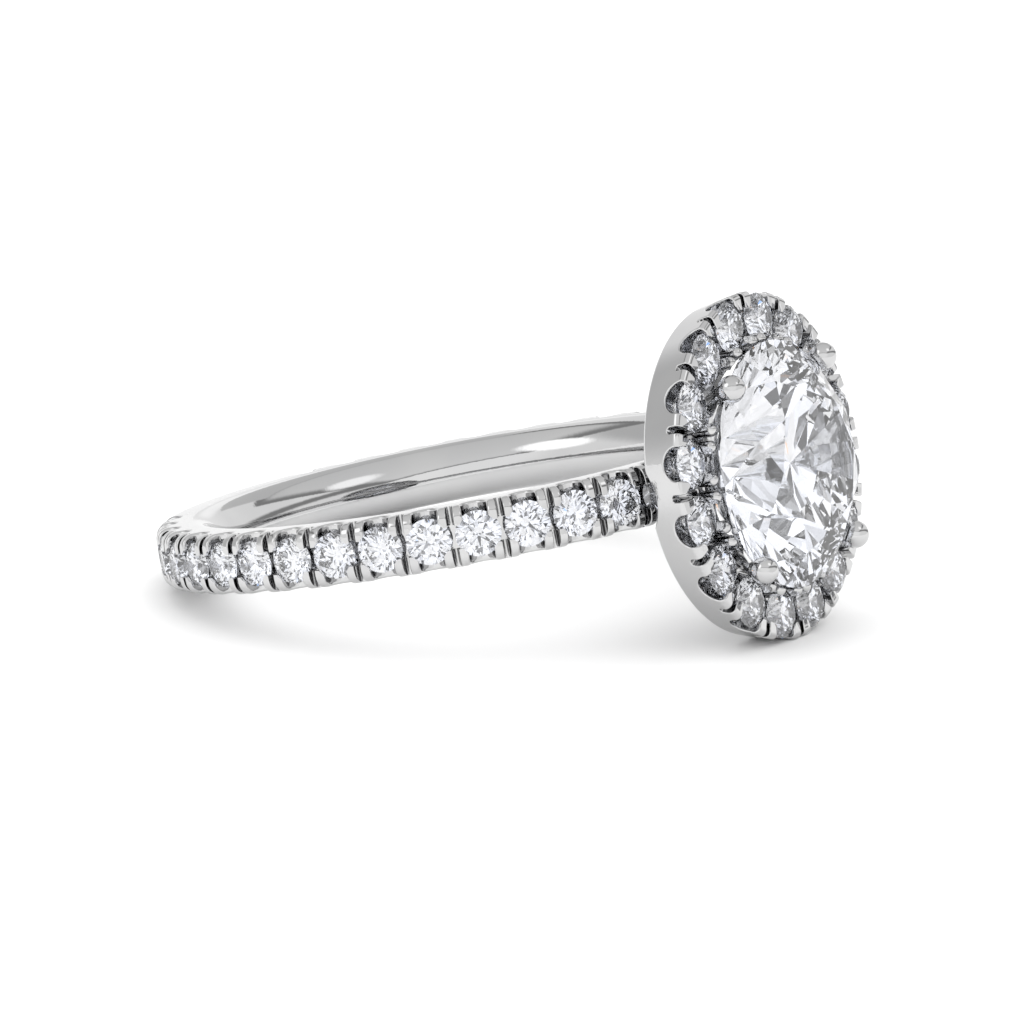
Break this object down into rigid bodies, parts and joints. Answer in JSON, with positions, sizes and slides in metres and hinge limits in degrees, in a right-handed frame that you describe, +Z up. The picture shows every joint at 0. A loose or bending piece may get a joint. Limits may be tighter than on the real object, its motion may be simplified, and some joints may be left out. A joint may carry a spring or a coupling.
{
  "type": "halo ring",
  "caption": "Finger ring with a large round stone in four ball prongs, a halo of small stones round it and a narrow band set with small stones between split posts, lying on its side.",
  "frame": {"origin": "middle of the bounding box, at its lowest level, which is the surface that the ring lies on", "axes": "+X horizontally from the band's far side towards the head with the stones, +Y sideways across the finger hole, +Z up; the finger's axis leans 12.3 degrees from +Z, away from the head"},
  "size_m": [0.0242, 0.021, 0.0112],
  "materials": {
    "white_gold": "high polish, rhodium-plated white gold",
    "centre_diamond": "polished brilliant cut, clear and colourless",
    "small_diamonds": "polished small brilliant cut, clear and colourless"
  },
  "bodies": {
    "root": {"shank_and_setting": "white_gold", "centre_stone": "centre_diamond", "halo_stone_01": "small_diamonds", "halo_stone_02": "small_diamonds", "halo_stone_03": "small_diamonds", "halo_stone_04": "small_diamonds", "halo_stone_05": "small_diamonds", "halo_stone_06": "small_diamonds", "halo_stone_07": "small_diamonds", "halo_stone_08": "small_diamonds", "halo_stone_09": "small_diamonds", "halo_stone_10": "small_diamonds", "halo_stone_11": "small_diamonds", "halo_stone_12": "small_diamonds", "halo_stone_13": "small_diamonds", "halo_stone_14": "small_diamonds", "halo_stone_15": "small_diamonds", "halo_stone_16": "small_diamonds", "band_stones": "small_diamonds"}
  },
  "joints": []
}
